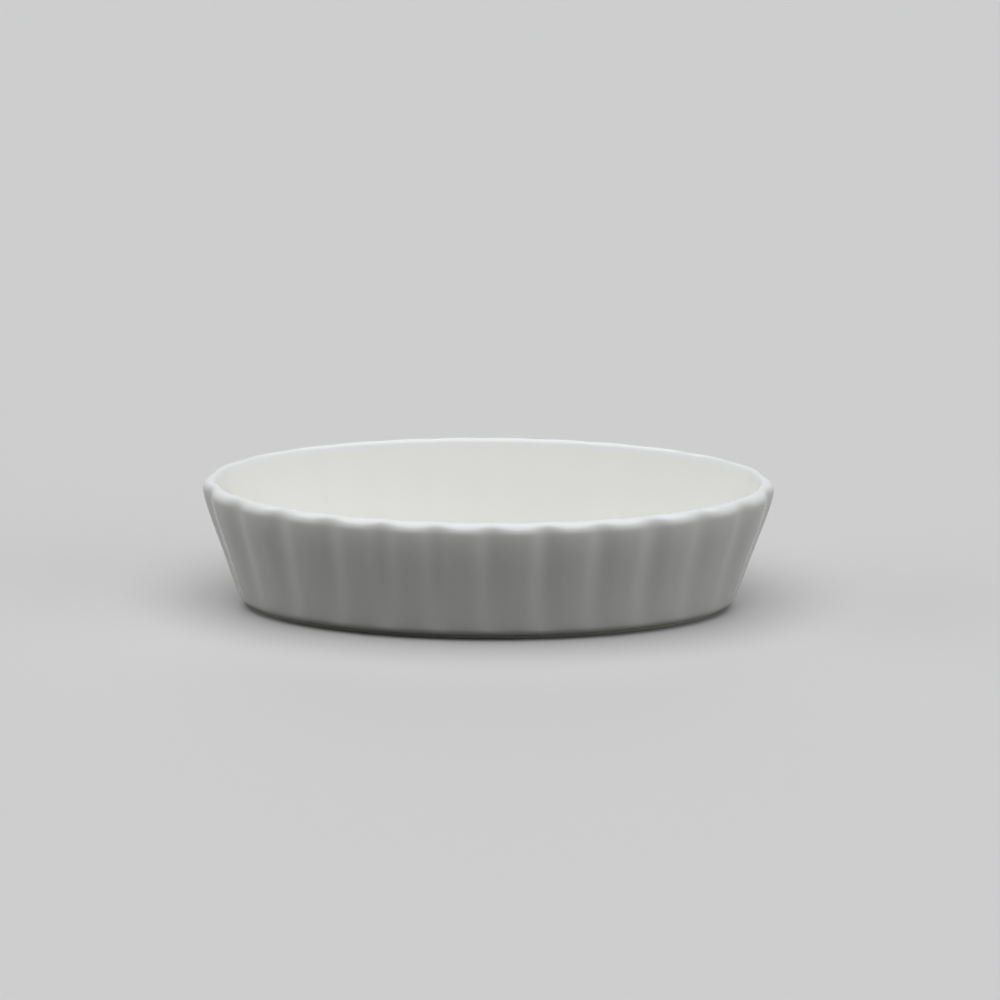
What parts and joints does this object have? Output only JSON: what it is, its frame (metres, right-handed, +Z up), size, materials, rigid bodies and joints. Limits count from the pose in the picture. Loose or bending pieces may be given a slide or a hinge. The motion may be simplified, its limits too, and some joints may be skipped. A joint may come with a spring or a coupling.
{
  "type": "creme brulee dish",
  "caption": "Shallow oval baking dish with a fluted, outward-leaning wall, a rounded rim and a bare foot ring, for one portion of custard.",
  "frame": {"origin": "on the table plane, under the middle of the dish", "axes": "+X along the oval's long axis, +Y along its short axis, +Z up out of the open top"},
  "size_m": [0.1518, 0.0874, 0.0349],
  "materials": {
    "bisque": "fired porcelain, bare and matt where the foot ring is wiped clean",
    "glaze": "clear gloss glaze over white porcelain",
    "base_glaze": "clear gloss glaze, a little thinner than on the wall"
  },
  "bodies": {
    "root": {"porcelain_body": "bisque", "glaze_coat": "glaze", "base_glaze": "base_glaze"}
  },
  "joints": []
}
